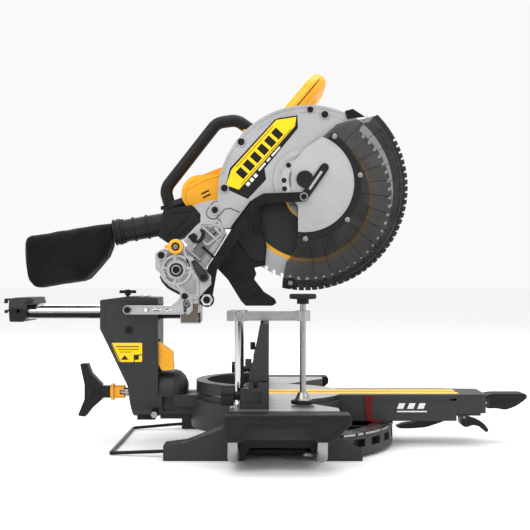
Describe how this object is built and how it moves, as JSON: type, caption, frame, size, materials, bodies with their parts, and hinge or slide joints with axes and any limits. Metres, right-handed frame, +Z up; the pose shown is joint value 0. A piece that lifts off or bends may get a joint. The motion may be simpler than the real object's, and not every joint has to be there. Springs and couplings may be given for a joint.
{
  "type": "sliding compound mitre saw",
  "caption": "Bench sliding compound mitre saw with a tilting, sliding and chopping head, lower blade guard, work clamp, dust bag and pull-out end supports.",
  "frame": {"origin": "mitre axis at bench level, in the plane of the fence face", "axes": "+X forward to the operator, +Y to the operator right, +Z up"},
  "size_m": [0.9344, 0.61, 0.683],
  "materials": {
    "dark_casting": "satin textured dark grey paint",
    "machined_alu": "machined",
    "cast_silver": "silver powder coat, fine sparkle",
    "steel": "brushed",
    "chrome_steel": "polished",
    "black_steel": "black oxide",
    "black_plastic": "fine grain",
    "yellow_plastic": "satin",
    "red_plastic": "satin",
    "smoked_clear": "smoked clear polycarbonate",
    "black_rubber": "matt",
    "bag_cloth": "woven",
    "copper_core": "laminated core"
  },
  "bodies": {
    "base": {"base_casting": "dark_casting", "detent_plate": "steel", "fence_casting": "dark_casting", "base_bolts": "black_steel", "rear_stand": "black_steel"},
    "left_support": {"support_left": "black_plastic", "tubes_left": "chrome_steel"},
    "right_support": {"support_right": "black_plastic", "tubes_right": "chrome_steel"},
    "clamp": {"clamp_post": "chrome_steel", "clamp_arm": "machined_alu"},
    "clamp_foot": {"clamp_foot": "steel"},
    "clamp_screw": {"clamp_screw": "steel", "clamp_knob": "black_plastic"},
    "left_fence": {"fence_left": "dark_casting"},
    "right_fence": {"fence_right": "dark_casting"},
    "left_fence_knob": {"fence_knob_left": "black_plastic"},
    "right_fence_knob": {"fence_knob_right": "black_plastic"},
    "mitre_table": {"turntable": "dark_casting", "kerf_plates": "yellow_plastic", "table_bolts": "steel", "mitre_pointer": "red_plastic"},
    "mitre_handle": {"mitre_handle": "black_plastic"},
    "detent_lever": {"detent_lever": "black_plastic"},
    "detent_pawl": {"detent_pawl": "black_steel"},
    "bevel_housing": {"bevel_housing": "dark_casting", "rail_bushings": "machined_alu", "housing_bolts": "steel", "bevel_collar": "yellow_plastic"},
    "rail_lock_knob": {"rail_lock_knob": "black_plastic"},
    "bevel_knob": {"bevel_knob": "black_plastic"},
    "bevel_stop": {"bevel_stop": "yellow_plastic"},
    "carriage": {"slide_rails": "chrome_steel", "rail_end_cap": "black_plastic", "carriage": "cast_silver", "rail_strap": "cast_silver", "carriage_bolts": "black_steel"},
    "depth_stop": {"depth_stop": "black_plastic"},
    "lock_pin": {"lock_pin": "yellow_plastic"},
    "head": {"head_arm": "cast_silver", "upper_guard": "cast_silver", "guard_screws": "black_steel", "gear_case": "yellow_plastic", "motor_housing": "yellow_plastic", "motor_stator": "copper_core", "drive_belt": "black_rubber", "main_handle": "yellow_plastic", "carry_handle": "black_plastic", "dust_elbow": "black_plastic", "dust_chute": "black_rubber"},
    "trigger": {"trigger": "black_plastic"},
    "lock_off": {"lock_off": "black_plastic"},
    "blade": {"blade": "steel", "spindle": "steel"},
    "rotor": {"rotor": "steel"},
    "lower_guard": {"lower_guard": "smoked_clear", "guard_rim": "black_plastic", "guard_fittings": "cast_silver"},
    "guard_link": {"guard_link": "black_steel"},
    "dust_bag": {"dust_bag": "bag_cloth"}
  },
  "joints": [
    {"name": "left_support_pull", "type": "slide", "parent": "base", "child": "left_support", "axis": [0, -1, 0], "range_m": [0, 0.08]},
    {"name": "right_support_pull", "type": "slide", "parent": "base", "child": "right_support", "axis": [0, 1, 0], "range_m": [0, 0.08]},
    {"name": "clamp_swivel", "type": "hinge", "parent": "base", "child": "clamp", "pos_m": [-0.048, -0.19, 0.1], "axis": [0, 0, 1], "range_deg": [-75, 0]},
    {"name": "clamp_feed", "type": "slide", "parent": "clamp", "child": "clamp_foot", "axis": [0, 0, 1], "range_m": [0, 0.035]},
    {"name": "clamp_screw_turn", "type": "hinge", "parent": "clamp_foot", "child": "clamp_screw", "pos_m": [0.055, -0.19, 0.2], "axis": [0, 0, 1], "range_deg": [0, 3150]},
    {"name": "left_fence_slide", "type": "slide", "parent": "base", "child": "left_fence", "axis": [0, -1, 0], "range_m": [0, 0.1]},
    {"name": "right_fence_slide", "type": "slide", "parent": "base", "child": "right_fence", "axis": [0, 1, 0], "range_m": [0, 0.1]},
    {"name": "left_fence_knob_turn", "type": "hinge", "parent": "base", "child": "left_fence_knob", "pos_m": [-0.07, -0.222, 0.11], "axis": [1, 0, 0], "range_deg": [-360, 0]},
    {"name": "right_fence_knob_turn", "type": "hinge", "parent": "base", "child": "right_fence_knob", "pos_m": [-0.07, 0.222, 0.11], "axis": [1, 0, 0], "range_deg": [-360, 0]},
    {"name": "mitre", "type": "hinge", "parent": "base", "child": "mitre_table", "pos_m": [0, 0, 0.0906], "axis": [0, 0, 1], "range_deg": [-50, 50]},
    {"name": "mitre_handle_lift", "type": "hinge", "parent": "mitre_table", "child": "mitre_handle", "pos_m": [0.39, 0, 0.073], "axis": [0, -1, 0], "range_deg": [0, 12]},
    {"name": "detent_squeeze", "type": "hinge", "parent": "mitre_table", "child": "detent_lever", "pos_m": [0.352, 0, 0.0465], "axis": [0, -1, 0], "range_deg": [0, 12], "stiffness_Nm_per_rad": 1.5, "springref_deg": -5.73},
    {"name": "detent_drop", "type": "hinge", "parent": "mitre_table", "child": "detent_pawl", "pos_m": [0.312, 0, 0.04], "axis": [0, 1, 0], "range_deg": [0, 6]},
    {"name": "bevel", "type": "hinge", "parent": "mitre_table", "child": "bevel_housing", "pos_m": [-0.2, 0, 0.0906], "axis": [-1, 0, 0], "range_deg": [-30, 45]},
    {"name": "rail_lock_turn", "type": "hinge", "parent": "bevel_housing", "child": "rail_lock_knob", "pos_m": [-0.257, 0, 0.27], "axis": [0, 0, 1], "range_deg": [0, 360]},
    {"name": "bevel_knob_turn", "type": "hinge", "parent": "bevel_housing", "child": "bevel_knob", "pos_m": [-0.32, 0, 0.0906], "axis": [1, 0, 0], "range_deg": [-90, 0]},
    {"name": "bevel_stop_flip", "type": "hinge", "parent": "bevel_housing", "child": "bevel_stop", "pos_m": [-0.203, -0.026, 0.178], "axis": [0, -1, 0], "range_deg": [0, 30]},
    {"name": "rail_slide", "type": "slide", "parent": "bevel_housing", "child": "carriage", "axis": [-1, 0, 0], "range_m": [-0.114, 0.04]},
    {"name": "depth_stop_flip", "type": "hinge", "parent": "carriage", "child": "depth_stop", "pos_m": [-0.115, -0.06, 0.299], "axis": [0, 1, 0], "range_deg": [0, 60]},
    {"name": "lock_pin_pull", "type": "slide", "parent": "carriage", "child": "lock_pin", "axis": [0, -1, 0], "range_m": [0, 0.008]},
    {"name": "chop", "type": "hinge", "parent": "carriage", "child": "head", "pos_m": [-0.1626, 0, 0.3114], "axis": [0, 1, 0], "range_deg": [0, 46], "stiffness_Nm_per_rad": 30, "springref_deg": -63.03},
    {"name": "lower_guard_open", "type": "hinge", "parent": "head", "child": "lower_guard", "pos_m": [0.064, 0, 0.4734], "axis": [0, 1, 0], "range_deg": [-115, 0]},
    {"name": "guard_link_swing", "type": "hinge", "parent": "carriage", "child": "guard_link", "pos_m": [-0.11, -0.042, 0.2584], "axis": [0, 1, 0], "range_deg": [0, 49.5]},
    {"name": "blade_spin", "type": "hinge", "parent": "head", "child": "blade", "pos_m": [0.071, 0, 0.4447], "axis": [0, 1, 0], "continuous": true},
    {"name": "rotor_spin", "type": "hinge", "parent": "head", "child": "rotor", "pos_m": [-0.128, 0.08, 0.454], "axis": [0, 1, 0], "continuous": true},
    {"name": "trigger_press", "type": "slide", "parent": "head", "child": "trigger", "axis": [0.6428, 0, 0.766], "range_m": [0, 0.005], "stiffness_N_per_m": 300, "springref_m": -0.002},
    {"name": "lock_off_press", "type": "slide", "parent": "head", "child": "lock_off", "axis": [0.766, 0, -0.6428], "range_m": [0, 0.003], "stiffness_N_per_m": 300, "springref_m": -0.002},
    {"name": "bag_pull", "type": "slide", "parent": "head", "child": "dust_bag", "axis": [-0.985, 0, -0.1728], "range_m": [0, 0.06]}
  ],
  "couplings": [
    {"joint": "clamp_screw_turn", "follows": "clamp_feed", "rad_per_m": 1570.8},
    {"joint": "detent_drop", "follows": "detent_squeeze", "ratio": 0.5},
    {"joint": "lower_guard_open", "follows": "chop", "ratio": -2.5},
    {"joint": "guard_link_swing", "follows": "chop", "ratio": 1.072},
    {"joint": "rotor_spin", "follows": "blade_spin", "ratio": 2.5455}
  ]
}
